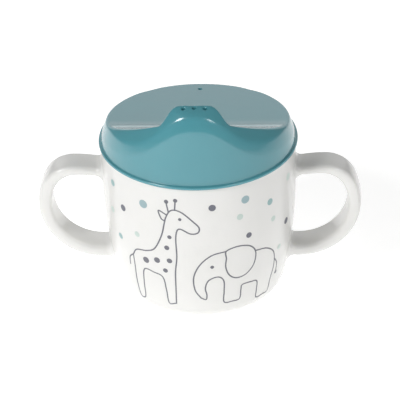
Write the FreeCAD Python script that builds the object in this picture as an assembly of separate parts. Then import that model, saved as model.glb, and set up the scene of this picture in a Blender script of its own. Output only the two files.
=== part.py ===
"""Two-handled training cup with a press-in spout lid.

Sizes are in millimetres. The origin is the centre of the base, +Z is up, the
handles reach out along X and the spout stands on the -Y side. The cup and its
two handles are one rigid body; the lid is the other, and pulls straight up.
"""
import FreeCAD, Part
import math
import os

Vector = FreeCAD.Vector

# ---- cup ----------------------------------------------------------------
CUP_HEIGHT = 69.0        # base to the top of the rim
CUP_RADIUS = 40.2        # outside of the upright upper wall
CUP_WALL = 2.2
CUP_FLOOR = 3.0          # thickness of the bottom inside the foot ring
UPRIGHT_DEPTH = 19.0     # upright stretch of the wall, measured down from the rim
SIDE_ARC = 202.0         # radius of the wall's slow curve below that stretch
BASE_ROUND = 9.0         # outside radius where the wall turns into the base
RIM_ROUND = 0.6
FOOT_RING = 3.5          # width of the flat ring that the cup stands on
FOOT_RECESS = 0.8        # depth of the hollow inside the ring

# ---- handles ------------------------------------------------------------
HANDLE_REACH = 27.3      # how far a handle stands out from the upright wall
HANDLE_DROP = 10.0       # rim to the top of a handle
HANDLE_HEIGHT = 45.0
HANDLE_SWEEP = 26.0      # outside radius of the big lower bend
HANDLE_CORNER = 14.0     # outside radius of the tighter upper bend
HANDLE_INNER_CORNER = 10.0
HANDLE_ARCH = 60.0       # radius of the upper bar's slight arch
HANDLE_THICK_TOP = 4.6   # thickness of the straight upper bar
HANDLE_THICK = 5.8       # thickness round the big bend
HANDLE_WIDTH = 13.0      # across the band, along Y
HANDLE_EDGE = 1.9        # rounding of the band's long edges

# ---- lid ----------------------------------------------------------------
LID_WALL = 1.8
FLANGE_OVERHANG = 0.8    # flange beyond the cup's wall
FLANGE_THICK = 1.2
FLANGE_ROUND = 0.6
SKIRT_INSET = 0.0        # skirt's foot, measured in from the cup's wall
SKIRT_DRAFT = 0.195      # how fast the skirt and spout front lean in, mm per mm
CROWN_LEVEL = 8.97       # plateau above the rim, on the axis
CROWN_TILT = 0.125       # rise of the plateau towards the spout, mm per mm
BEND_START = 1.0         # axis to where the plateau starts to curve up to the crest
BEND_RADIUS = 40.0       # of that curve
EDGE_DROP = 0.09         # crown's edge below the plateau, share of the plateau's height
FACE_SLOPE = 1.0         # face between the skirt and the crest, mm per mm inwards
SHOULDER = 0.69          # softness where the face turns into the skirt, same share
SHOULDER_GAP = 0.153     # how early it leaves the skirt, same share
CREST_ROUND = 1.2

# ---- spout --------------------------------------------------------------
TIP_LEVEL = 31.3         # tip above the rim
TIP_ROUND = 3.0
SWELL_DROP = 6.8         # how far the swell of the skirt's edge stays below the tip
SWELL_HALF_WIDTH = 17.6
SWELL_POWER = 2.5        # how squarely the swell rises
BACK_HALF_FOOT = 14.5    # half width of the spout's back at its foot
BACK_HALF_TOP = 6.0      # and where it reaches its full height
REAR_SLOPE = 1.1         # of the spout's back, added to the plateau's curve
REAR_RUN = 15.45         # tip's front to where the spout's back starts
REAR_BLEND = 3.0         # hollow blend of the spout's back

HOLE_RADIUS = 0.85
HOLE_SPACING = 4.2
HOLE_COUNT = 3
HOLE_SETBACK = 4.45      # hole centres behind the tip's front edge
HOLE_LENGTH = 5.5
VENT_RADIUS = 0.8
VENT_DISTANCE = 32.6     # from the axis to the vent, opposite the spout

# ---- plug that holds the lid in the mouth -------------------------------
PLUG_CLEARANCE = 0.3
PLUG_DEPTH = 8.0
PLUG_WALL = 1.6
BEAD_HEIGHT = 0.2        # sealing bead beyond the plug's wall
BEAD_LIFT = 2.2          # bead centre above the plug's lower edge
BEAD_LENGTH = 1.6

GRID_STEPS = 84          # spans of the crown surface each way
GRID_SPILL = 1.5         # how far past the skirt's foot its slope is carried on

BELLY_LEVEL = CUP_HEIGHT - UPRIGHT_DEPTH
SKIRT_RADIUS = CUP_RADIUS - SKIRT_INSET
TIP_FRONT = SKIRT_RADIUS - SKIRT_DRAFT * TIP_LEVEL
SWELL_RISE = TIP_LEVEL - CROWN_LEVEL - SWELL_DROP
MOUTH_RADIUS = CUP_RADIUS - CUP_WALL
PLUG_RADIUS = MOUTH_RADIUS - PLUG_CLEARANCE
GRID_HALF = CUP_RADIUS + 2.0


def point(x, z):
    return Vector(x, 0, z)


def line(start, end):
    return Part.LineSegment(start, end).toShape()


def arc(centre_x, centre_z, radius, start, end):
    """Circular edge in the XZ plane between two angles in degrees."""
    def at(angle):
        turn = math.radians(angle)
        return point(centre_x + radius * math.cos(turn), centre_z + radius * math.sin(turn))
    return Part.Arc(at(start), at((start + end) / 2), at(end)).toShape()


def revolve(edges):
    face = Part.Face(Part.Wire(edges))
    return face.revolve(Vector(0, 0, 0), Vector(0, 0, 1), 360)


def turned(points):
    """Solid of revolution of a straight-sided outline of (radius, height) points."""
    corners = [point(*pair) for pair in points]
    edges = [line(a, b) for a, b in zip(corners, corners[1:] + corners[:1])]
    return revolve(edges)


def bowl(inset, bottom, top):
    """Solid bowl with the cup's side curve, set in by a wall thickness."""
    radius = CUP_RADIUS - inset
    sweep = SIDE_ARC - inset
    base_round = BASE_ROUND - inset
    centre_x = CUP_RADIUS - SIDE_ARC
    drop = BELLY_LEVEL - (bottom + base_round)
    foot = centre_x + math.sqrt((sweep - base_round) ** 2 - drop ** 2)
    turn = -math.degrees(math.asin(drop / (sweep - base_round)))
    return revolve([
        line(point(0, bottom), point(foot, bottom)),
        arc(foot, bottom + base_round, base_round, -90, turn),
        arc(centre_x, BELLY_LEVEL, sweep, turn, 0),
        line(point(radius, BELLY_LEVEL), point(radius, top)),
        line(point(radius, top), point(0, top)),
        line(point(0, top), point(0, bottom)),
    ]), foot


def edges_at(shape, level, radius):
    """Circular edges of a turned shape at a height and radius."""
    found = []
    for edge in shape.Edges:
        curve = edge.Curve
        if isinstance(curve, Part.Circle):
            same_level = abs(curve.Center.z - level) < 1e-4
            if same_level and abs(curve.Radius - radius) < 1e-4:
                found.append(edge)
    return found


def cup_body():
    outside, foot = bowl(0, 0, CUP_HEIGHT)
    inside, _ = bowl(CUP_WALL, CUP_FLOOR, CUP_HEIGHT + 1)
    recess_radius = foot - FOOT_RING
    slope = FOOT_RECESS * 2
    recess = turned([(0, -1), (recess_radius, -1), (recess_radius, 0),
                     (recess_radius - slope, FOOT_RECESS), (0, FOOT_RECESS)])
    cup = outside.cut(inside).cut(recess)
    rim = edges_at(cup, CUP_HEIGHT, CUP_RADIUS) + edges_at(cup, CUP_HEIGHT, MOUTH_RADIUS)
    return cup.makeFillet(RIM_ROUND, rim)


def handle_path(top, bottom, sweep, corner, arch, centre_x, centre_z, root):
    """Edges from the upper root, round the D, to the lower root, and the upper root's point."""
    corner_z = top - corner
    rise = corner_z - centre_z
    corner_x = centre_x + math.sqrt((sweep - corner) ** 2 - rise ** 2)
    turn = math.degrees(math.asin(rise / (sweep - corner)))
    lean = math.degrees(math.asin((corner_x - root) / arch))
    upper_root = point(root, top - arch * (1 - math.cos(math.radians(lean))))
    return upper_root, [
        arc(corner_x, top - arch, arch, 90 + lean, 90),
        arc(corner_x, corner_z, corner, 90, turn),
        arc(centre_x, centre_z, sweep, turn, -90),
        line(point(centre_x, bottom), point(root, bottom)),
    ]


def handle(side):
    """One handle; side is +1 for +X and -1 for -X."""
    top = CUP_HEIGHT - HANDLE_DROP
    bottom = top - HANDLE_HEIGHT
    centre_x = CUP_RADIUS + HANDLE_REACH - HANDLE_SWEEP
    centre_z = bottom + HANDLE_SWEEP
    root = CUP_RADIUS * 0.75
    inner_top = top - HANDLE_THICK_TOP
    inner_bottom = bottom + HANDLE_THICK
    outer_root, outer = handle_path(top, bottom, HANDLE_SWEEP, HANDLE_CORNER,
                                    HANDLE_ARCH, centre_x, centre_z, root)
    inner_root, inner = handle_path(inner_top, inner_bottom, HANDLE_SWEEP - HANDLE_THICK,
                                    HANDLE_INNER_CORNER, HANDLE_ARCH - HANDLE_THICK_TOP,
                                    centre_x, centre_z, root)
    ends = [line(outer_root, inner_root),
            line(point(root, bottom), point(root, inner_bottom))]
    outline = Part.Wire(Part.__sortEdges__(outer + inner + ends))
    band = Part.Face(outline).extrude(Vector(0, HANDLE_WIDTH, 0))
    band.translate(Vector(0, -HANDLE_WIDTH / 2, 0))
    long_edges = [edge for edge in band.Edges if not edge_at_root(edge, root)]
    edge_round = min(HANDLE_EDGE, 0.45 * HANDLE_THICK_TOP, 0.45 * HANDLE_THICK)
    band = band.makeFillet(edge_round, long_edges)
    cup, _ = bowl(0, 0, CUP_HEIGHT)
    band = band.cut(cup)
    if side < 0:
        band = band.mirror(Vector(0, 0, 0), Vector(1, 0, 0))
    return band


def edge_at_root(edge, root):
    """True for the straight edges of the hidden end and those that run along Y."""
    box = edge.BoundBox
    return box.XMax < root + 1e-4 or box.YLength > HANDLE_WIDTH / 2


def soft_positive(value, size):
    """Zero below -size, the value above +size, and a parabola between."""
    if value <= -size:
        return 0.0
    if value >= size:
        return value
    return (value + size) ** 2 / (4 * size)


def soft_min(a, b, size):
    """The smaller of two heights, blended where they differ by less than size."""
    return b - soft_positive(b - a, size)


def crown_height(x, front, wall):
    """Height of the lid's top above the rim; front is the distance towards the spout.

    The top is the lower of two surfaces that meet in the crest: the back, which is the
    plateau curving up to the spout, and the nose, which rises inwards from the skirt.
    A wall above zero gives the matching surface inside the lid.
    """
    sideways = math.sqrt(x * x + 1) + 0.6 * wall
    plane = CROWN_LEVEL + CROWN_TILT * front

    ahead = max(front - BEND_START, 0)
    slope = CROWN_TILT + ahead / BEND_RADIUS
    back = plane + ahead ** 2 / (2 * BEND_RADIUS) - wall * math.sqrt(1 + slope ** 2)
    narrow = (BACK_HALF_FOOT - sideways) / (BACK_HALF_FOOT - BACK_HALF_TOP)
    narrow = min(max(narrow, 0), 1)
    narrow = narrow * narrow * (3 - 2 * narrow)
    climb = REAR_SLOPE * (front - TIP_FRONT + REAR_RUN) - 0.9 * wall
    back += narrow * soft_positive(climb, REAR_BLEND)

    swell = SWELL_RISE * math.exp(-(sideways / SWELL_HALF_WIDTH) ** SWELL_POWER)
    edge = plane * (1 - EDGE_DROP) + swell
    across = math.hypot(x, front)
    face = edge + FACE_SLOPE * (skirt_radius(edge) - across) - 1.7 * wall
    inward = max(skirt_radius(0, wall) - across, -GRID_SPILL)
    skirt = inward / SKIRT_DRAFT + SHOULDER_GAP * plane
    nose = soft_min(face, skirt, SHOULDER * plane)
    nose = soft_min(nose, TIP_LEVEL - wall, TIP_ROUND)
    return soft_min(nose, back, CREST_ROUND)


def above_crown(wall):
    """Solid that fills the space over the crown surface."""
    rows = []
    for i in range(GRID_STEPS + 1):
        x = GRID_HALF * (2 * i / GRID_STEPS - 1)
        row = []
        for j in range(GRID_STEPS + 1):
            y = GRID_HALF * (2 * j / GRID_STEPS - 1)
            row.append(Vector(x, y, CUP_HEIGHT + crown_height(x, -y, wall)))
        rows.append(row)
    surface = Part.BSplineSurface()
    surface.interpolate(rows)
    return surface.toShape().extrude(Vector(0, 0, 2 * TIP_LEVEL))


def skirt_radius(level, wall=0.0):
    return SKIRT_RADIUS - SKIRT_DRAFT * level - wall


def lid():
    tall = TIP_LEVEL + 2
    outside = turned([(0, 0), (skirt_radius(0), 0), (skirt_radius(tall), tall), (0, tall)])
    outside.translate(Vector(0, 0, CUP_HEIGHT))
    outside = outside.cut(above_crown(0))

    flange_radius = CUP_RADIUS + FLANGE_OVERHANG
    flange = Part.makeCylinder(flange_radius, FLANGE_THICK, Vector(0, 0, CUP_HEIGHT))
    rounded = edges_at(flange, CUP_HEIGHT + FLANGE_THICK, flange_radius)
    flange = flange.makeFillet(FLANGE_ROUND, rounded)

    shell = outside.fuse(flange).fuse(plug())
    shell = shell.cut(lid_hollow())
    for cutter in spout_holes() + [vent_hole()]:
        shell = shell.cut(cutter)
    return shell.removeSplitter()


def plug():
    low = CUP_HEIGHT - PLUG_DEPTH
    bead = low + BEAD_LIFT
    return turned([
        (0, low), (PLUG_RADIUS - 0.6, low), (PLUG_RADIUS, low + 0.8),
        (PLUG_RADIUS, bead - BEAD_LENGTH / 2), (PLUG_RADIUS + BEAD_HEIGHT, bead),
        (PLUG_RADIUS, bead + BEAD_LENGTH / 2), (PLUG_RADIUS, CUP_HEIGHT), (0, CUP_HEIGHT)])


def lid_hollow():
    """Space under the crown, down through the plug."""
    inner = PLUG_RADIUS - PLUG_WALL
    step = FLANGE_THICK + 0.4
    wide = skirt_radius(2 * step, LID_WALL)
    tall = TIP_LEVEL + 1
    hollow = turned([
        (0, -PLUG_DEPTH - 1), (inner, -PLUG_DEPTH - 1), (inner, step), (wide, 2 * step),
        (skirt_radius(tall, LID_WALL), tall), (0, tall)])
    hollow.translate(Vector(0, 0, CUP_HEIGHT))
    return hollow.cut(above_crown(LID_WALL))


def spout_holes():
    holes = []
    first = -(HOLE_COUNT - 1) / 2 * HOLE_SPACING
    for index in range(HOLE_COUNT):
        base = Vector(first + index * HOLE_SPACING, -(TIP_FRONT - HOLE_SETBACK),
                      CUP_HEIGHT + TIP_LEVEL - HOLE_LENGTH)
        holes.append(Part.makeCylinder(HOLE_RADIUS, HOLE_LENGTH + 2, base))
    return holes


def vent_hole():
    base = Vector(0, VENT_DISTANCE, CUP_HEIGHT)
    return Part.makeCylinder(VENT_RADIUS, 2 * CROWN_LEVEL, base)


def main():
    os.makedirs("parts", exist_ok=True)
    nodes = {
        "cup_body": cup_body(),
        "handle_left": handle(-1),
        "handle_right": handle(1),
        "lid": lid(),
    }
    for name, shape in nodes.items():
        box = shape.BoundBox
        print(name, "valid", shape.isValid(), "solids", len(shape.Solids),
              "volume", round(shape.Volume, 1),
              "x", round(box.XMin, 2), round(box.XMax, 2),
              "y", round(box.YMin, 2), round(box.YMax, 2),
              "z", round(box.ZMin, 2), round(box.ZMax, 2))
        shape.exportStep("parts/" + name + ".step")


main()
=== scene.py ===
"""Training cup looks: the detailed meshes and materials that go round the cup's packed frame.

Laid out as an add-on: sizes and colours are properties, each piece or group of like pieces has an
operator, and a panel in the sidebar lists them. Lengths are in metres, +Z is up, the handles lie
along X and the spout is on the -Y side.
"""
import math

import bpy
import numpy as np
from mathutils import Matrix, Vector


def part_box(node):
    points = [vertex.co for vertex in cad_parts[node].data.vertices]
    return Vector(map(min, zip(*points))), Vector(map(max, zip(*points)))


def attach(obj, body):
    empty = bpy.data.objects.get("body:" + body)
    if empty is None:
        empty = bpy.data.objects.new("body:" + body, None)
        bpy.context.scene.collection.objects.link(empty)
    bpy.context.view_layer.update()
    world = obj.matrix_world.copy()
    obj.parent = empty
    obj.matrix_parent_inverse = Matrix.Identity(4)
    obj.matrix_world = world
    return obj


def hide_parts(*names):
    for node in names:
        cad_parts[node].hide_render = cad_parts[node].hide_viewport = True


bl_info = {
    "name": "Training Cup Looks",
    "version": (1, 0, 0),
    "blender": (4, 5, 0),
    "location": "3D View > Sidebar > Training Cup",
    "description": "Builds the meshes, print and materials of a two-handled training cup",
    "category": "Add Mesh",
}

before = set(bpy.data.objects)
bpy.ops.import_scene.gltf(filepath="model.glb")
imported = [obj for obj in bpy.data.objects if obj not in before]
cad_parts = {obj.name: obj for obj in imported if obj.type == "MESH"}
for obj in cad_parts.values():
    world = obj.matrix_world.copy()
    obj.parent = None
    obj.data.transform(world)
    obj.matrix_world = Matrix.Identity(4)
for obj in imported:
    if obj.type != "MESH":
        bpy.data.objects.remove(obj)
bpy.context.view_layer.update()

CUP_LOW, CUP_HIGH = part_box("cup_body")
HANDLE_LOW, HANDLE_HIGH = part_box("handle_right")
LID_LOW, LID_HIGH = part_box("lid")

MM = 0.001
BASE_LEVEL = CUP_LOW.z
RIM_LEVEL = CUP_HIGH.z
CUP_RADIUS = CUP_HIGH.x
FLANGE_RADIUS = LID_HIGH.x

MIDDLE = 0.01 * MM          # radius of the tiny ring that closes a lathed piece on its axis
WEAR_HEIGHT = 3 * MM        # how far rubbed plastic reaches up from the foot ring
FLANGE_FILLET = 0.35 * MM   # where the lid's skirt meets its flange
CEILING_STEP = 0.4 * MM     # flange's top to where the plug's bore widens into the skirt
UNDER_ROUND = 0.7 * MM      # rounding between the crown and the skirt inside the lid
LID_CREASE = 50.0           # degrees; sharper turns on the lid are shaded as edges
PRINTED_SIDES = (0.0, math.pi * CUP_RADIUS)     # shift round the wall: front and back


def length(name, description, default):
    """A length property whose default is given in millimetres."""
    return bpy.props.FloatProperty(
        name=name, description=description, default=default * MM, unit="LENGTH", precision=5)


def number(name, description, default):
    return bpy.props.FloatProperty(name=name, description=description, default=default)


def colour(name, description, default):
    """A colour property whose default is an sRGB hex code."""
    linear = []
    for place in (0, 2, 4):
        part = int(default[place:place + 2], 16) / 255
        linear.append(part / 12.92 if part <= 0.04045 else ((part + 0.055) / 1.055) ** 2.4)
    return bpy.props.FloatVectorProperty(
        name=name, description=description, default=linear, size=3,
        subtype="COLOR", min=0, max=1)


class CupSizes(bpy.types.PropertyGroup):
    """Sizes of the cup's wall and base."""
    wall: length("Wall", "Thickness of the cup's wall", 2.2)
    floor: length("Floor", "Thickness of the bottom inside the foot ring", 3.0)
    upright: length("Upright wall", "Straight stretch of wall below the rim", 19.0)
    side_arc: length("Side arc", "Radius of the wall's curve below the straight stretch", 202.0)
    base_round: length("Base rounding", "Radius where the wall turns into the base", 9.0)
    rim_round: length("Rim rounding", "Radius of the rim's two edges", 0.6)
    foot_ring: length("Foot ring", "Width of the flat ring that the cup stands on", 3.5)
    foot_recess: length("Foot recess", "Depth of the hollow inside the foot ring", 0.8)


class HandleSizes(bpy.types.PropertyGroup):
    """Sizes of the two loop handles."""
    sweep: length("Lower bend", "Outside radius of the big lower bend", 26.0)
    corner: length("Upper bend", "Outside radius of the upper bend", 14.0)
    inner_corner: length("Inner upper bend", "Inside radius of the upper bend", 10.0)
    arch: length("Arch", "Radius of the upper bar's slight arch", 60.0)
    thick_top: length("Upper thickness", "Thickness of the upper bar", 4.6)
    thick: length("Lower thickness", "Thickness round the lower bend", 5.8)
    edge: length("Edge rounding", "Rounding of the band's long edges", 1.9)
    crown: length("Crown", "How far the band's broad faces swell in the middle", 0.25)
    root: length("Root fillet", "Fillet where a handle runs into the wall", 3.0)


class LidSizes(bpy.types.PropertyGroup):
    """Sizes of the lid's flange, skirt, crown and spout."""
    wall: length("Wall", "Thickness of the lid's wall", 1.8)
    flange_thick: length("Flange", "Thickness of the flange on the rim", 1.2)
    flange_round: length("Flange rounding", "Rounding of the flange's upper edge", 0.6)
    skirt_inset: length("Skirt inset", "Skirt's foot, in from the cup's wall", 0.0)
    draft: number("Draft", "How fast the skirt leans in", 0.195)
    level: length("Crown level", "Plateau above the rim, on the axis", 8.97)
    tilt: number("Crown tilt", "Rise of the plateau towards the spout", 0.125)
    rim_round: length("Crown rounding", "Rounding between the crown and the skirt", 1.6)
    bend_start: length("Bend start", "Axis to where the plateau starts to curve up", 1.0)
    sweep: length("Sweep", "Radius of the plateau's upward curve", 40.0)
    drop: number("Edge drop", "Crown's edge below the plateau, share of its height", 0.09)
    face: number("Front face slope", "Slope of the face between crest and skirt", 1.0)
    shoulder: length("Shoulder", "Softness of the turn from the face to the skirt", 9.0)
    shoulder_gap: length("Shoulder gap", "How early the shoulder leaves the skirt", 2.0)
    crest: length("Crest rounding", "Rounding of the crest above the face", 1.2)
    tip_level: length("Tip level", "Spout's tip above the rim", 31.3)
    tip_round: length("Tip rounding", "Softness of the turn over the tip", 3.0)
    swell_drop: length("Swell drop", "How far the spout's swell stays below the tip", 6.8)
    swell_half: length("Swell half width", "Half width of the spout's swell on the skirt", 17.6)
    swell_power: number("Swell power", "How squarely the swell rises", 2.5)
    back_foot: length("Back half width", "Half width of the spout's back at its foot", 14.5)
    back_top: length("Back top half width", "Half width of the spout's back at full height", 6.0)
    rear_slope: number("Rear slope", "Steepness of the spout's back over the curve", 1.1)
    rear_run: length("Rear run", "Tip's front to where the spout's back starts", 15.45)
    rear_blend: length("Rear blend", "Hollow blend of the spout's back", 3.0)
    hole: length("Hole radius", "Radius of the drinking holes", 0.85)
    hole_gap: length("Hole spacing", "Distance between drinking holes", 4.2)
    hole_setback: length("Hole setback", "Hole centres behind the tip's front", 4.45)
    vent: length("Vent radius", "Radius of the air vent", 0.8)
    vent_place: length("Vent place", "Axis to the vent", 32.6)
    hole_lip: length("Hole lip", "Rounding round each hole's mouth", 0.3)
    plug_gap: length("Plug clearance", "Gap round the plug", 0.3)
    plug_wall: length("Plug wall", "Thickness of the plug", 1.6)
    bead: length("Bead", "Height of the sealing bead", 0.2)
    bead_lift: length("Bead lift", "Bead above the plug's lower edge", 2.2)
    bead_half: length("Bead half length", "Half the length of the bead", 0.8)


class PrintSizes(bpy.types.PropertyGroup):
    """Sizes of the print on the cup's side."""
    line: length("Line width", "Width of the drawn lines", 0.6)
    lift: length("Ink thickness", "Ink film on the wall", 0.03)


class Finishes(bpy.types.PropertyGroup):
    """Colours of the plastics and inks."""
    cup: colour("Cup", "Warm white of the cup and handles", "ECEBE9")
    cup_shade: colour("Cup shade", "Tint in the cup's faint clouding", "E5E5E2")
    lid: colour("Lid", "Grey-teal of the lid", "519BA6")
    lid_deep: colour("Lid depth", "Deeper teal in the lid's clouding", "47929E")
    line: colour("Line ink", "Slate grey of the drawn lines", "5F606B")
    teal: colour("Teal ink", "Teal dots", "8FB3B4")
    mint: colour("Mint ink", "Pale mint dots", "C3D3CC")
    plum: colour("Plum ink", "Dark plum-grey dots", "5C5E6C")
    slate: colour("Slate ink", "Blue-grey dots", "93AEB4")
    floor: colour("Floor", "Plain pale floor", "F6F6F5")


GROUPS = {
    "cup_sizes": CupSizes,
    "handle_sizes": HandleSizes,
    "lid_sizes": LidSizes,
    "print_sizes": PrintSizes,
    "cup_finishes": Finishes,
}


# ---- shader expressions -------------------------------------------------

class Value:
    """A shader socket that arithmetic can be written on; each step adds a Math node."""

    def __init__(self, sheet, socket):
        self.sheet = sheet
        self.socket = socket

    def math(self, operation, first, second, clamp=False):
        return self.sheet.add("Math", {"operation": operation, "use_clamp": clamp},
                              {0: first, 1: second})

    def __add__(self, other):
        return self.math("ADD", self, other)

    __radd__ = __add__

    def __mul__(self, other):
        return self.math("MULTIPLY", self, other)

    __rmul__ = __mul__

    def __sub__(self, other):
        return self.math("SUBTRACT", self, other)

    def __rsub__(self, other):
        return self.math("SUBTRACT", other, self)

    def __truediv__(self, other):
        return self.math("DIVIDE", self, other)

    def __rtruediv__(self, other):
        return self.math("DIVIDE", other, self)

    def clamp(self):
        return self.math("ADD", self, 0.0, clamp=True)


class Sheet:
    """The node tree of one material, with a Principled shader at its end."""

    def __init__(self, name, **constants):
        self.material = bpy.data.materials.new(name)
        if self.material.name != name:
            raise RuntimeError("another material is already called " + name)
        self.material.use_nodes = True
        self.tree = self.material.node_tree
        self.shader = self.tree.nodes["Principled BSDF"]
        for socket, value in constants.items():
            self.shader.inputs[socket.replace("_", " ")].default_value = value

    def add(self, kind, settings, sockets, output=0):
        """A node of a kind: its settings first, then its sockets' values or links."""
        node = self.tree.nodes.new("ShaderNode" + kind)
        for key, value in settings.items():
            setattr(node, key, value)
        for key, value in sockets.items():
            self.set(node.inputs[key], value)
        return Value(self, node.outputs[output])

    def set(self, socket, value):
        if isinstance(value, Value):
            self.tree.links.new(value.socket, socket)
        elif hasattr(value, "__len__") and len(value) == 3 and socket.type == "RGBA":
            socket.default_value = (*value, 1)
        else:
            socket.default_value = value

    def place(self):
        """Position on the piece, in metres, unchanged by the joints."""
        return self.add("TexCoord", {}, {}, output="Object")

    def noise(self, size, detail=2.0, roughness=0.5):
        """Noise from 0 to 1 whose features are about one size across."""
        return self.add("TexNoise", {}, {"Vector": self.place(), "Scale": 1 / size,
                                         "Detail": detail, "Roughness": roughness},
                        output="Fac")

    def mix(self, amount, first, second):
        """One colour turning into another; on a Mix node the colours are sockets 6, 7 and 2."""
        return self.add("Mix", {"data_type": "RGBA"}, {0: amount, 6: first, 7: second},
                        output=2)

    def bump(self, height, strength, distance):
        return self.add("Bump", {}, {"Height": height, "Strength": strength,
                                     "Distance": distance})

    def finish(self, **links):
        for socket, value in links.items():
            self.set(self.shader.inputs[socket.replace("_", " ")], value)
        return self.material


def cup_plastic(finishes):
    """Glossy moulded plastic: warm white, faintly clouded, with a soft orange-peel surface."""
    sheet = Sheet("cup_surface", IOR=1.5, Coat_Roughness=0.06, Coat_IOR=1.5,
                  Subsurface_Weight=0.12, Subsurface_Radius=(0.004, 0.004, 0.0035),
                  Subsurface_Scale=0.6)
    cloud = sheet.noise(0.022, detail=3)
    speck = sheet.noise(0.0011, detail=1)
    peel = sheet.noise(0.0035, detail=2, roughness=0.4)
    rub = sheet.noise(0.006, detail=6, roughness=0.7)
    tint = sheet.mix(cloud, finishes.cup, finishes.cup_shade)
    low = wear_near_base(sheet)
    base = sheet.mix(low * rub * 0.35, tint, [part * 0.86 for part in finishes.cup])
    rough = 0.2 + cloud * 0.05 + speck * 0.04 + low * rub * 0.35
    normal = sheet.bump(peel * 0.8 + speck * 0.2, 0.12, 0.00012)
    return sheet.finish(Base_Color=base, Roughness=rough, Coat_Weight=0.35 - low * 0.25,
                        Normal=normal)


def wear_near_base(sheet):
    """1 on the foot ring, fading out a few millimetres up the wall."""
    height = sheet.add("SeparateXYZ", {}, {"Vector": sheet.place()}, output="Z")
    return (1 - (height - BASE_LEVEL) / WEAR_HEIGHT).clamp()


def lid_plastic(finishes):
    """Glossy moulded polypropylene: grey-teal, fine-grained, softly translucent."""
    sheet = Sheet("lid_surface", IOR=1.52, Coat_Roughness=0.1, Coat_IOR=1.6,
                  Subsurface_Weight=0.1, Subsurface_Radius=(0.0015, 0.003, 0.003),
                  Subsurface_Scale=0.6)
    cloud = sheet.noise(0.018, detail=3)
    grain = sheet.noise(0.00045, detail=2)
    flow = sheet.noise(0.009, detail=4, roughness=0.6)
    base = sheet.mix(cloud * 0.7 + grain * 0.2, finishes.lid, finishes.lid_deep)
    rough = 0.2 + flow * 0.06 + grain * 0.04
    normal = sheet.bump(grain * 0.6 + flow * 0.4, 0.1, 0.00008)
    return sheet.finish(Base_Color=base, Roughness=rough, Coat_Weight=0.55 + cloud * 0.2,
                        Normal=normal)


def ink(name, tone):
    """Screen-printed ink: nearly matt, with slightly uneven cover."""
    sheet = Sheet(name, IOR=1.5, Coat_Roughness=0.2)
    cover = sheet.noise(0.0006, detail=3, roughness=0.6)
    cloud = sheet.noise(0.004, detail=2)
    light = [1 - (1 - part) * 0.86 for part in tone]
    base = sheet.mix(cover * 0.35 + cloud * 0.25, tone, light)
    normal = sheet.bump(cover, 0.15, 0.00003)
    return sheet.finish(Base_Color=base, Roughness=0.34 + cover * 0.16,
                        Coat_Weight=0.15 + cloud * 0.1, Normal=normal)


# ---- mesh helpers -------------------------------------------------------

def make_piece(name, points, faces, material, body, sharp=40.0):
    """A smooth-shaded mesh object that rides on a body, with creases kept above an angle."""
    mesh = bpy.data.meshes.new(name)
    mesh.from_pydata([tuple(point) for point in points], [], faces)
    mesh.validate()
    mesh.polygons.foreach_set("use_smooth", [True] * len(mesh.polygons))
    mesh.set_sharp_from_angle(angle=math.radians(sharp))
    mesh.materials.append(material)
    piece = bpy.data.objects.new(name, mesh)
    bpy.context.scene.collection.objects.link(piece)
    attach(piece, body)
    return piece


def skin(rings):
    """Quads between successive closed rings of equal length."""
    count = len(rings[0])
    faces = []
    for row in range(len(rings) - 1):
        low = row * count
        high = low + count
        for place in range(count):
            after = (place + 1) % count
            faces.append((low + place, low + after, high + after, high + place))
    return faces


def capped(rings):
    """Points and faces of stacked rings, closed at both ends by a fan round the ring's centre."""
    count = len(rings[0])
    points = np.concatenate(rings)
    faces = skin(rings)
    for first, ring, turn in ((0, rings[0], 1), (len(points) - count, rings[-1], -1)):
        centre = len(points)
        points = np.vstack([points, ring.mean(axis=0)])
        for place in range(count):
            pair = (first + (place + 1) % count, first + place)[::turn]
            faces.append((*pair, centre))
    return points, faces


def arc_points(centre_r, centre_z, radius, start, end, steps):
    """Points of a circular arc between two angles in degrees, both ends included."""
    turn = np.radians(np.linspace(start, end, steps + 1))
    return np.column_stack([centre_r + radius * np.cos(turn), centre_z + radius * np.sin(turn)])


def spun(profile, angles):
    """Rings of a lathe profile of (radius, height) points about the Z axis."""
    rings = []
    for radius, height in profile:
        rings.append(np.column_stack([
            radius * np.cos(angles), radius * np.sin(angles), np.full(len(angles), height)]))
    return rings


def even_angles(count):
    return np.arange(count) * 2 * math.pi / count


# ---- cup ----------------------------------------------------------------

def side_curve(sizes, inset, bottom):
    """Centre, turn and foot of the cup's side, set in by a wall thickness."""
    belly = RIM_LEVEL - sizes.upright
    sweep = sizes.side_arc - inset
    fillet = sizes.base_round - inset
    centre = CUP_RADIUS - sizes.side_arc
    drop = belly - (bottom + fillet)
    foot = centre + math.sqrt((sweep - fillet) ** 2 - drop ** 2)
    turn = -math.degrees(math.asin(drop / (sweep - fillet)))
    return belly, sweep, fillet, centre, foot, turn


def wall_profile(sizes, inset, bottom):
    """Side of the cup from the flat of its base up to the start of the straight wall."""
    belly, sweep, fillet, centre, foot, turn = side_curve(sizes, inset, bottom)
    low = arc_points(foot, bottom + fillet, fillet, -90, turn, 20)
    side = arc_points(centre, belly, sweep, turn, 0, 24)
    return np.vstack([low, side[1:]])


def wall_radius(sizes, height):
    """Outside radius of the cup at given heights."""
    belly, sweep, fillet, centre, foot, turn = side_curve(sizes, 0, BASE_LEVEL)
    below = np.clip(belly - height, 0, None)
    side = centre + np.sqrt(sweep ** 2 - below ** 2)
    lift = np.clip(height - BASE_LEVEL, 0, fillet)
    low = foot + np.sqrt(np.clip(fillet ** 2 - (fillet - lift) ** 2, 0, None))
    join = BASE_LEVEL + fillet + fillet * math.sin(math.radians(turn))
    return np.where(height > join, side, low)


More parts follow.
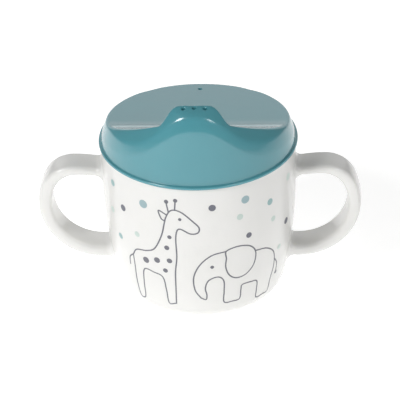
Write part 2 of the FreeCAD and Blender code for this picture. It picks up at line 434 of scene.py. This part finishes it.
class CUP_OT_body(bpy.types.Operator):
    """Cup: foot ring, rounded base, slow side curve, rounded rim and hollow inside"""
    bl_idname = "cup.body"
    bl_label = "Cup Body"

    def execute(self, context):
        sizes = context.scene.cup_sizes
        outer = wall_profile(sizes, 0, BASE_LEVEL)
        inner = wall_profile(sizes, sizes.wall, BASE_LEVEL + sizes.floor)
        profile = np.vstack([self.underside(sizes, outer[0][0]), outer, self.rim(sizes),
                             inner[::-1], [[MIDDLE, BASE_LEVEL + sizes.floor]]])
        points, faces = capped(spun(profile, even_angles(256)))
        piece = make_piece("cup_wall", points, faces, bpy.data.materials["cup_surface"],
                           "cup")
        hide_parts("cup_body")
        return {"FINISHED"}

    def underside(self, sizes, flat):
        """Moulding mark in the middle, a fine ring round it, the recess and the foot ring."""
        foot = flat - sizes.foot_ring
        recess = BASE_LEVEL + sizes.foot_recess
        edge = 0.4 * MM
        mark, ring = recess + 0.25 * MM, recess + 0.1 * MM
        return np.vstack([
            [[MIDDLE, mark], [1.4 * MM, mark], [1.7 * MM, recess + 0.18 * MM],
             [1.9 * MM, recess]],
            [[6 * MM, recess], [6.15 * MM, ring], [6.5 * MM, ring], [6.65 * MM, recess]],
            [[foot - 3 * sizes.foot_recess, recess]],
            arc_points(foot - 2 * sizes.foot_recess, recess - edge, edge, 90, 60, 4),
            arc_points(foot, BASE_LEVEL + edge, edge, -150, -90, 4)])

    def rim(self, sizes):
        radius = sizes.rim_round
        level = RIM_LEVEL - radius
        return np.vstack([
            arc_points(CUP_RADIUS - radius, level, radius, 0, 90, 6),
            arc_points(CUP_RADIUS - sizes.wall + radius, level, radius, 90, 180, 6)])


# ---- handles ------------------------------------------------------------

def handle_line(sizes, top, bottom, sweep, corner, arch):
    """Points along one side of the band, from the upper root round to the lower root."""
    centre_x = HANDLE_HIGH.x - sizes.sweep
    centre_z = HANDLE_LOW.z + sizes.sweep
    corner_z = top - corner
    rise = corner_z - centre_z
    corner_x = centre_x + math.sqrt((sweep - corner) ** 2 - rise ** 2)
    turn = math.degrees(math.asin(rise / (sweep - corner)))
    start = CUP_RADIUS + sizes.root * 1.2
    lean = math.degrees(math.asin((corner_x - start) / arch))
    end = centre_x - 0.01 * MM
    return np.vstack([
        arc_points(corner_x, top - arch, arch, 90 + lean, 90, 10),
        arc_points(corner_x, corner_z, corner, 90, turn, 18)[1:],
        arc_points(centre_x, centre_z, sweep, turn, -90, 40)[1:],
        [[end, bottom]]])


def band_section(sizes, half_thick, half_width):
    """Rounded rectangle with slightly swollen broad faces, as (across, along Y, normal) rows."""
    edge = min(sizes.edge, 0.9 * half_thick)
    rows = []
    for face, start in ((1, 90), (-1, 270)):
        flat = np.linspace(1, -1, 9) * face * (half_width - edge)
        swell = sizes.crown * (1 - (flat / (half_width - edge)) ** 2)
        for along, rise in zip(flat, swell):
            rows.append((face * (half_thick - sizes.crown + rise), along, face, 0))
        for angle in np.linspace(start, start + 180, 13)[1:-1]:
            rows.append(side_point(sizes, edge, half_thick, half_width, angle))
    return np.array(rows)


def side_point(sizes, edge, half_thick, half_width, angle):
    """Point on the band's narrow side; the angle runs from one broad face to the other."""
    across, along = math.sin(math.radians(angle)), math.cos(math.radians(angle))
    face = np.sign(round(across, 9)) * (half_thick - sizes.crown - edge)
    side = math.copysign(half_width - edge, along)
    return face + edge * across, side + edge * along, across, along


class CUP_OT_handles(bpy.types.Operator):
    """Handles: two D-shaped bands with soft edges that flare into the cup's wall"""
    bl_idname = "cup.handles"
    bl_label = "Handles"

    def execute(self, context):
        for side, node in ((-1, "handle_left"), (1, "handle_right")):
            rings = handle_rings(context.scene.handle_sizes, context.scene.cup_sizes)
            rings = [ring * (side, 1, 1) for ring in rings]
            if side < 0:
                rings = [ring[::-1] for ring in rings]
            points, faces = capped(rings)
            piece = make_piece(node + "_band", points, faces,
                               bpy.data.materials["cup_surface"], "cup")
            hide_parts(node)
        return {"FINISHED"}


def handle_rings(sizes, cup_sizes):
    """Rings of the +X handle, with a flare into the wall at both ends."""
    top, bottom = HANDLE_HIGH.z, HANDLE_LOW.z
    outer = handle_line(sizes, top, bottom, sizes.sweep, sizes.corner, sizes.arch)
    inner = handle_line(sizes, top - sizes.thick_top, bottom + sizes.thick,
                        sizes.sweep - sizes.thick, sizes.inner_corner,
                        sizes.arch - sizes.thick_top)
    middle = (outer + inner) / 2
    half_width = (HANDLE_HIGH.y - HANDLE_LOW.y) / 2
    rings, normals = [], []
    for place, centre in enumerate(middle):
        across = outer[place] - inner[place]
        thick = np.linalg.norm(across)
        across = across / thick
        section = band_section(sizes, thick / 2, half_width)
        rings.append(np.column_stack([
            centre[0] + across[0] * section[:, 0], section[:, 1],
            centre[1] + across[1] * section[:, 0]]))
        normal = np.column_stack([across[0] * section[:, 2], section[:, 3],
                                  across[1] * section[:, 2]])
        normals.append(normal / np.linalg.norm(normal, axis=1)[:, None])
    start = flare(rings[0], normals[0], middle[0] - middle[1], sizes.root, cup_sizes)
    end = flare(rings[-1], normals[-1], middle[-1] - middle[-2], sizes.root, cup_sizes)
    return start[::-1] + rings + end


def flare(ring, normals, heading, root, cup_sizes):
    """Rings that carry the last section into the wall through a quarter-round fillet."""
    heading = np.array([heading[0], 0, heading[1]]) / np.linalg.norm(heading)
    rings = []
    for angle in np.radians(np.linspace(0, 90, 10)):
        spread = ring + normals * root * (1 - math.cos(angle))
        travel = to_wall(spread, heading, cup_sizes) - root * (1 - math.sin(angle))
        rings.append(spread + heading * travel[:, None])
    rings.append(rings[-1] + heading * 0.9 * MM)
    return rings


def to_wall(points, heading, cup_sizes):
    """Distance along the heading from each point to the cup's outside."""
    travel = np.zeros(len(points))
    for _ in range(12):
        at = points + heading * travel[:, None]
        gap = np.hypot(at[:, 0], at[:, 1]) - wall_radius(cup_sizes, at[:, 2])
        travel = travel + gap
    return travel


# ---- lid ----------------------------------------------------------------

def soft_positive(value, size):
    """Zero below -size, the value above +size, and a parabola between."""
    middle = (value + size) ** 2 / (4 * size)
    return np.where(value <= -size, 0.0, np.where(value >= size, value, middle))


def soft_min(first, second, size):
    """The smaller of two heights, blended where they differ by less than size."""
    return second - soft_positive(second - first, size)


def tip_front(sizes):
    return CUP_RADIUS - sizes.skirt_inset - sizes.draft * sizes.tip_level


def crown_height(sizes, x, front, wall):
    """Height of the lid's top above the rim, or of its underside for a wall above zero.

    The top is the lower of two surfaces that meet in the crest: the back, which is the
    plateau curving up to the spout, and the nose, which rises inwards from the skirt.
    Front is the distance from the axis towards the spout.
    """
    ahead = np.clip(front - sizes.bend_start, 0, None)
    slope = sizes.tilt + ahead / sizes.sweep
    plane = sizes.level + sizes.tilt * front
    wave = plane + ahead ** 2 / (2 * sizes.sweep) - wall * np.sqrt(1 + slope ** 2)
    sideways = np.sqrt(x * x + MM ** 2) + 0.6 * wall
    narrow = (sizes.back_foot - sideways) / (sizes.back_foot - sizes.back_top)
    narrow = np.clip(narrow, 0, 1)
    narrow = narrow * narrow * (3 - 2 * narrow)
    climb = sizes.rear_slope * (front - tip_front(sizes) + sizes.rear_run) - 0.9 * wall
    back = wave + narrow * soft_positive(climb, sizes.rear_blend)
    rise = sizes.tip_level - sizes.level - sizes.swell_drop
    swell = rise * np.exp(-(sideways / sizes.swell_half) ** sizes.swell_power)
    edge = plane * (1 - sizes.drop) + swell
    across = np.hypot(x, front)
    inward = skirt_radius(sizes, edge, 0) - across
    face = edge + sizes.face * inward - 1.7 * wall
    skirt = (skirt_radius(sizes, 0, wall) - across) / sizes.draft + sizes.shoulder_gap
    nose = soft_min(face, skirt, sizes.shoulder)
    nose = soft_min(nose, sizes.tip_level - wall, sizes.tip_round)
    return soft_min(nose, back, sizes.crest)


def spout_angles(count, crowding=0.62):
    """Angles round the lid, closer together near the spout."""
    turn = even_angles(count)
    return turn - crowding * np.sin(turn) - math.pi / 2


def skirt_radius(sizes, level, wall):
    return CUP_RADIUS - sizes.skirt_inset - sizes.draft * level - wall


def crown_edge(sizes, cos, sin, wall):
    """Radius at which the crown meets the skirt in each direction, by bisection."""
    low, high = np.zeros(len(cos)), np.full(len(cos), CUP_RADIUS)
    for _ in range(40):
        middle = (low + high) / 2
        level = crown_height(sizes, middle * cos, -middle * sin, wall)
        inside = middle < skirt_radius(sizes, level, wall)
        low, high = np.where(inside, middle, low), np.where(inside, high, middle)
    return low


def crown_rings(sizes, angles, wall, spans, rounding):
    """Rings from the middle of the crown out over its rounded edge and onto the skirt."""
    cos, sin = np.cos(angles), np.sin(angles)
    edge = crown_edge(sizes, cos, sin, wall)
    level = crown_height(sizes, edge * cos, -edge * sin, wall)
    rings = []
    share = np.linspace(0, 1, spans + 1)
    share[0] = 1e-4
    for part in share:
        radius = (edge - rounding) * part
        rings.append(ring_at(radius, crown_height(sizes, radius * cos, -radius * sin, wall),
                             cos, sin))
    start = rings[-1]
    corner = ring_at(edge, level, cos, sin)
    below = level - rounding
    end = ring_at(skirt_radius(sizes, below, wall), below, cos, sin)
    for part in np.linspace(0, 1, 9)[1:]:
        rings.append(start * (1 - part) ** 2 + corner * 2 * part * (1 - part) + end * part ** 2)
    return rings, below


def ring_at(radius, level, cos, sin):
    return np.column_stack([radius * cos, radius * sin, RIM_LEVEL + level])


def skirt_rings(sizes, below, foot, wall, angles, steps):
    """Rings down the skirt from the crown's edge to a level foot."""
    cos, sin = np.cos(angles), np.sin(angles)
    rings = []
    for part in np.linspace(0, 1, steps + 1)[1:]:
        level = below * (1 - part) + foot * part
        rings.append(ring_at(skirt_radius(sizes, level, wall), level, cos, sin))
    return rings


class CUP_OT_lid(bpy.types.Operator):
    """Lid: flange, skirt, crown with its hollows and spout, plug and the holes through it"""
    bl_idname = "cup.lid"
    bl_label = "Spout Lid"

    def execute(self, context):
        sizes = context.scene.lid_sizes
        cup = context.scene.cup_sizes
        angles = spout_angles(420)
        top, below = crown_rings(sizes, angles, 0, 96, sizes.rim_round)
        under, under_below = crown_rings(sizes, angles, sizes.wall, 70, UNDER_ROUND)
        foot = sizes.flange_thick + FLANGE_FILLET
        step = sizes.flange_thick + CEILING_STEP
        rings = top + skirt_rings(sizes, below, foot, 0, angles, 10)
        rings += spun(self.flange_profile(sizes, foot), angles)
        rings += spun(self.plug_profile(sizes, cup, step), angles)
        rings += skirt_rings(sizes, under_below, 2 * step, sizes.wall, angles, 6)[::-1]
        rings += under[::-1]
        points, faces = capped([ring[::-1] for ring in rings])
        piece = make_piece("spout_lid", points, faces, bpy.data.materials["lid_surface"],
                           "lid", sharp=LID_CREASE)
        for cutter in self.cutters(sizes):
            drill(piece, cutter)
        piece.data.set_sharp_from_angle(angle=math.radians(LID_CREASE))
        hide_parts("lid")
        return {"FINISHED"}

    def flange_profile(self, sizes, foot):
        """From the skirt's foot over the flange to its underside."""
        root = skirt_radius(sizes, foot, 0)
        thick = sizes.flange_thick
        fillet = foot - thick
        upper, lower = sizes.flange_round, 0.2 * MM
        return np.vstack([
            arc_points(root + fillet, RIM_LEVEL + foot, fillet, 190, 270, 5),
            arc_points(FLANGE_RADIUS - upper, RIM_LEVEL + thick - upper, upper, 90, 0, 7),
            arc_points(FLANGE_RADIUS - lower, RIM_LEVEL + lower, lower, 0, -90, 4)])

    def plug_profile(self, sizes, cup, step):
        """From the flange's underside down the plug, round its lip and up inside."""
        plug = CUP_RADIUS - cup.wall - sizes.plug_gap
        low = LID_LOW.z
        bead = low + sizes.bead_lift
        inner = plug - sizes.plug_wall
        swell = np.linspace(-1, 1, 9)
        bead_points = np.column_stack([
            plug + sizes.bead * np.cos(swell * math.pi / 2) ** 2, bead - swell * sizes.bead_half])
        wide = skirt_radius(sizes, 2 * step, sizes.wall)
        root, outside, inside = 0.3 * MM, 0.6 * MM, 0.4 * MM
        return np.vstack([
            [[plug + 0.5 * MM, RIM_LEVEL]],
            arc_points(plug + root, RIM_LEVEL - root, root, 90, 180, 4),
            bead_points,
            arc_points(plug - outside, low + outside, outside, 0, -90, 5),
            arc_points(inner + inside, low + inside, inside, -90, -180, 5),
            [[inner, RIM_LEVEL + step], [wide, RIM_LEVEL + 2 * step]]])

    def cutters(self, sizes):
        """Lathed drills for the three drinking holes and the vent."""
        front = tip_front(sizes) - sizes.hole_setback
        tip_depth, crown_depth, clear = 5 * MM, 4 * MM, 0.02 * MM
        places = [(index * sizes.hole_gap, front, sizes.hole, tip_depth)
                  for index in (-1, 0, 1)]
        places.append((0.0, -sizes.vent_place, sizes.vent, crown_depth))
        lip = sizes.hole_lip
        drills = []
        for x, along, radius, depth in places:
            mouth = RIM_LEVEL + float(crown_height(sizes, np.array(x), np.array(along), 0))
            profile = np.vstack([
                [[radius, mouth - depth]],
                arc_points(radius + lip, mouth - lip, lip, 180, 95, 6),
                [[radius + lip, mouth + clear], [radius + 2 * lip, mouth + MM]]])
            rings = spun(profile, even_angles(32))
            drills.append([ring + (x, -along, 0) for ring in rings])
        return drills


def drill(piece, rings):
    """Cuts a lathed drill out of a piece."""
    points, faces = capped(rings)
    mesh = bpy.data.meshes.new("drill")
    mesh.from_pydata([tuple(point) for point in points], [], faces)
    cutter = bpy.data.objects.new("drill", mesh)
    bpy.context.scene.collection.objects.link(cutter)
    cut = piece.modifiers.new("hole", "BOOLEAN")
    cut.operation = "DIFFERENCE"
    cut.solver = "EXACT"
    cut.object = cutter
    with bpy.context.temp_override(object=piece, active_object=piece):
        bpy.ops.object.modifier_apply(modifier=cut.name)
    bpy.data.objects.remove(cutter)
    bpy.data.meshes.remove(mesh)


# ---- print --------------------------------------------------------------

def on_wall(sizes, along, height, lift):
    """Points on the cup's outside; along is measured round the wall from the front."""
    radius = wall_radius(sizes, height) + lift
    turn = along / CUP_RADIUS
    return np.column_stack([radius * np.sin(turn), -radius * np.cos(turn), height])


def smooth_line(points, steps=8):
    """Catmull-Rom curve through points given in millimetres (along, up); returns metres."""
    points = np.array(points, float) * MM
    closed = np.allclose(points[0], points[-1])
    if closed:
        points = np.vstack([points[-2], points, points[1]])
    else:
        points = np.vstack([2 * points[0] - points[1], points, 2 * points[-1] - points[-2]])
    curve = []
    for before, start, end, after in zip(points, points[1:], points[2:], points[3:]):
        for part in np.arange(steps) / steps:
            curve.append(0.5 * (2 * start + (end - before) * part
                         + (2 * before - 5 * start + 4 * end - after) * part ** 2
                         + (3 * start - before - 3 * end + after) * part ** 3))
    return np.vstack([curve, points[-2]])


def stroke(sizes, points, width, lift):
    """Closed thin ribbon with rounded ends along a curve on the wall."""
    line = smooth_line(points)
    along = np.gradient(line, axis=0)
    across = np.column_stack([-along[:, 1], along[:, 0]])
    across = across / np.linalg.norm(across, axis=1)[:, None]
    heading = along / np.linalg.norm(along, axis=1)[:, None]
    half = width / 2
    sliver = 1e-9       # keeps the outermost ring of a rounded end from closing to a point
    turns = np.radians([90, 60, 30])
    rows = [(line[0] - heading[0] * half * math.sin(turn),
             across[0] * math.cos(turn) + sliver) for turn in turns]
    rows += list(zip(line, across))
    rows += [(line[-1] + heading[-1] * half * math.sin(turn),
              across[-1] * math.cos(turn) + sliver) for turn in turns[::-1]]
    rings = []
    for centre, side in rows:
        left, right = centre + side * half, centre - side * half
        corners = np.vstack([left, centre, right, right, left])
        up = np.array([lift, lift, lift, -lift, -lift])
        rings.append(on_wall(sizes, corners[:, 0], corners[:, 1], up))
    return capped(rings)


def disc(sizes, along, height, radius, lift):
    """Closed thin disc on the wall."""
    turn = even_angles(36)
    rings = []
    for share, up in ((0.02, -lift), (0.5, -lift), (1, -lift), (1, lift), (0.5, lift),
                      (0.02, lift)):
        rings.append(on_wall(sizes, along + radius * share * np.cos(turn),
                             height + radius * share * np.sin(turn), up))
    return capped(rings)


def joined(parts):
    """One list of points and faces from several."""
    points, faces, count = [], [], 0
    for part_points, part_faces in parts:
        points.append(part_points)
        faces += [tuple(corner + count for corner in face) for face in part_faces]
        count += len(part_points)
    return np.vstack(points), faces


# Drawn lines as runs of (along, up) in millimetres, and discs as (along, up, radius).
GIRAFFE = [
    [(-30, 31), (-27.5, 34.5), (-22, 36), (-18, 38.5), (-14.5, 46), (-12.5, 54.5), (-10, 58.5),
     (-6, 58), (-1.5, 54), (1, 51), (0.5, 48.5), (-2.5, 48), (-7, 50), (-8.5, 46), (-8.5, 36),
     (-9.5, 28), (-10, 18), (-10.5, 10.5)],
    [(-10.5, 10.5), (-14, 10), (-14.5, 17), (-15.5, 24), (-19.5, 25.5), (-24.5, 25.5),
     (-26, 18), (-27, 9.5), (-30, 9), (-30.5, 17), (-30, 25), (-30, 31)],
    [(-30, 31), (-32.5, 28.5), (-33, 24.5)],
    [(-11.2, 57.3), (-12, 61.5)],
    [(-8.6, 58.7), (-8.3, 62.5)],
    [(-12, 56), (-15.5, 57.5), (-14.5, 54), (-13, 53)],
]
GIRAFFE_DOTS = [(-12, 62.3, 0.9), (-8.2, 63.3, 0.9), (-6.6, 54.6, 0.7),
                (-12.6, 40, 1.1), (-11.2, 45.5, 0.9), (-11.8, 33.5, 1.2), (-17.5, 32.5, 1.4),
                (-23, 30.8, 1.5), (-14, 28, 1.1)]
ELEPHANT = [
    [(1, 14.5), (3.2, 13.5), (3.6, 16), (3, 20), (4.5, 24), (8.5, 25.5), (11, 23), (11.3, 17),
     (11.5, 11), (15.5, 10.5), (19, 11), (19.3, 16), (19.8, 18.5), (24, 18.5), (27.5, 17.5),
     (28, 12.5), (28.5, 8), (32.5, 7.8), (36, 8.2), (36.5, 14), (37.8, 21), (36.5, 28.5),
     (31.5, 33), (25.5, 34.5)],
    [(1, 14.5), (-1.5, 19), (-1.8, 26), (1, 32.5), (6, 37), (12, 38.2)],
    [(12, 38.2), (17, 39.5), (22.5, 38), (25.5, 34), (25, 28), (21.5, 24), (17, 23.2),
     (13.5, 25.5), (11.8, 30), (12, 34.5), (12, 38.2)],
    [(37.6, 24.5), (40, 21), (40.4, 16.5)],
]
ELEPHANT_DOTS = [(6, 31, 0.8), (40.4, 15.8, 0.9)]
# Dots as (ink, along, up, radius) in millimetres.
DOTS = [
    ("teal", -41, 60.5, 1.5), ("mint", -42.5, 47, 1.4), ("plum", -34, 52, 1.5),
    ("slate", -22.5, 58.5, 1.9), ("teal", -37.5, 36.5, 1.4), ("mint", -26.5, 42.5, 1.3),
    ("plum", 6.5, 60, 1.5), ("slate", 20.5, 61, 1.8), ("mint", 18, 53.5, 1.4),
    ("teal", 33, 55, 1.5), ("mint", 35, 46, 1.3), ("plum", 45, 39.5, 1.5),
    ("mint", 46.5, 60, 1.7), ("plum", 22, 43.5, 1.3), ("mint", 40.5, 29, 1.3),
]


class CUP_OT_drawings(bpy.types.Operator):
    """Line drawings: a generic giraffe and elephant, printed on both sides of the cup"""
    bl_idname = "cup.drawings"
    bl_label = "Line Drawings"

    def execute(self, context):
        cup = context.scene.cup_sizes
        sizes = context.scene.print_sizes
        for name, lines, spots in (("giraffe_print", GIRAFFE, GIRAFFE_DOTS),
                                   ("elephant_print", ELEPHANT, ELEPHANT_DOTS)):
            parts = []
            for shift in PRINTED_SIDES:
                for points in lines:
                    moved = [(along + shift / MM, up) for along, up in points]
                    parts.append(stroke(cup, moved, sizes.line, sizes.lift))
                for along, up, radius in spots:
                    parts.append(disc(cup, along * MM + shift, up * MM, radius * MM, sizes.lift))
            points, faces = joined(parts)
            make_piece(name, points, faces, bpy.data.materials["line_ink"], "cup")
        return {"FINISHED"}


class CUP_OT_dots(bpy.types.Operator):
    """Dots: small printed discs in four inks, scattered round the drawings"""
    bl_idname = "cup.dots"
    bl_label = "Dots"

    def execute(self, context):
        cup = context.scene.cup_sizes
        sizes = context.scene.print_sizes
        for tone in ("teal", "mint", "plum", "slate"):
            parts = []
            for shift in PRINTED_SIDES:
                for name, along, up, radius in DOTS:
                    if name == tone:
                        parts.append(disc(cup, along * MM + shift, up * MM, radius * MM,
                                          sizes.lift))
            points, faces = joined(parts)
            make_piece(tone + "_dots", points, faces, bpy.data.materials[tone + "_ink"],
                       "cup")
        return {"FINISHED"}


# ---- materials and stage ------------------------------------------------

class CUP_OT_materials(bpy.types.Operator):
    """Materials: the cup's and the lid's plastics and the printing inks"""
    bl_idname = "cup.materials"
    bl_label = "Materials"

    def execute(self, context):
        finishes = context.scene.cup_finishes
        cup_plastic(finishes)
        lid_plastic(finishes)
        for tone in ("line", "teal", "mint", "plum", "slate"):
            ink(tone + "_ink", getattr(finishes, tone))
        return {"FINISHED"}


def area_light(name, place, target, size, power):
    """White panel light; lengths in metres, power in watts."""
    data = bpy.data.lights.new(name, "AREA")
    data.shape = "RECTANGLE"
    data.size, data.size_y = size
    data.energy = power
    light = bpy.data.objects.new(name, data)
    light.location = place
    light.rotation_euler = (Vector(target) - Vector(place)).to_track_quat("-Z", "Y").to_euler()
    bpy.context.scene.collection.objects.link(light)


class CUP_OT_stage(bpy.types.Operator):
    """Stage: plain pale floor, soft studio lights and the camera"""
    bl_idname = "cup.stage"
    bl_label = "Stage"

    def execute(self, context):
        self.floor(context.scene.cup_finishes)
        self.lights(context)
        self.camera(context)
        return {"FINISHED"}

    def floor(self, finishes):
        """Round flat floor: the fan that would close its outer ring is left off."""
        points, faces = capped(spun([(0.02, 0), (2.0, 0), (6.0, 0)], even_angles(64)))
        last = len(points) - 1
        mesh = bpy.data.meshes.new("floor")
        mesh.from_pydata([tuple(point) for point in points[:last]], [],
                         [face for face in faces if last not in face])
        sheet = Sheet("floor", Roughness=0.9, Specular_IOR_Level=0.1,
                      Emission_Color=(1, 1, 1, 1), Emission_Strength=0.62)
        grain = sheet.noise(0.4, detail=2)
        mesh.materials.append(sheet.finish(Base_Color=sheet.mix(
            grain * 0.3, finishes.floor, [part * 0.98 for part in finishes.floor])))
        floor = bpy.data.objects.new("floor", mesh)
        bpy.context.scene.collection.objects.link(floor)

    def lights(self, context):
        world = bpy.data.worlds.new("studio")
        world.use_nodes = True
        sky = world.node_tree.nodes["Background"]
        sky.inputs["Color"].default_value = (1, 1, 1, 1)
        sky.inputs["Strength"].default_value = 0.22
        context.scene.world = world
        context.scene.view_settings.view_transform = "Standard"
        target = (0, 0, 0.05)
        area_light("key", (-0.85, -0.75, 0.95), target, (0.45, 0.45), 9.5)
        area_light("fill", (0.8, -0.9, 0.8), target, (0.35, 0.35), 3.0)
        area_light("back", (0.0, 1.2, 0.45), target, (1.8, 0.7), 2.5)

    def camera(self, context):
        """Long lens, a little above the cup and nearly straight in front of the spout."""
        azimuth, elevation = math.radians(2.5), math.radians(31.96)
        distance, lean = 0.8, math.radians(-1.64)
        pivot, target = Vector((0, 0, 0.045)), Vector((0, 0, 0.03865))
        back = Vector((math.sin(azimuth) * math.cos(elevation),
                       -math.cos(azimuth) * math.cos(elevation), math.sin(elevation)))
        place = pivot + back * distance
        data = bpy.data.cameras.new("camera")
        data.lens = 172.06
        data.sensor_width = 36.0
        data.clip_start, data.clip_end = 0.01, 20
        camera = bpy.data.objects.new("camera", data)
        roll = Matrix.Rotation(lean, 4, "Z")
        aim = (target - place).to_track_quat("-Z", "Y").to_matrix().to_4x4()
        camera.matrix_world = Matrix.Translation(place) @ aim @ roll
        context.scene.collection.objects.link(camera)
        context.scene.camera = camera


OPERATORS = (CUP_OT_materials, CUP_OT_body, CUP_OT_handles, CUP_OT_lid, CUP_OT_drawings,
             CUP_OT_dots, CUP_OT_stage)


class CUP_PT_looks(bpy.types.Panel):
    """Sidebar panel with the cup's sizes, colours and building steps"""
    bl_idname = "CUP_PT_looks"
    bl_label = "Training Cup"
    bl_space_type = "VIEW_3D"
    bl_region_type = "UI"
    bl_category = "Training Cup"

    def draw(self, context):
        layout = self.layout
        for operator in OPERATORS:
            layout.operator(operator.bl_idname, text=operator.bl_label)
        for group, kind in GROUPS.items():
            box = layout.box()
            box.label(text=kind.__doc__.rstrip("."))
            for name in kind.__annotations__:
                box.prop(getattr(context.scene, group), name)


def register():
    for kind in (*GROUPS.values(), *OPERATORS, CUP_PT_looks):
        bpy.utils.register_class(kind)
    for name, kind in GROUPS.items():
        setattr(bpy.types.Scene, name, bpy.props.PointerProperty(type=kind))


def unregister():
    for name in GROUPS:
        delattr(bpy.types.Scene, name)
    for kind in reversed((*GROUPS.values(), *OPERATORS, CUP_PT_looks)):
        bpy.utils.unregister_class(kind)


def main():
    register()
    for step in ("materials", "body", "handles", "lid", "drawings", "dots", "stage"):
        getattr(bpy.ops.cup, step)()


if __name__ == "__main__":
    main()
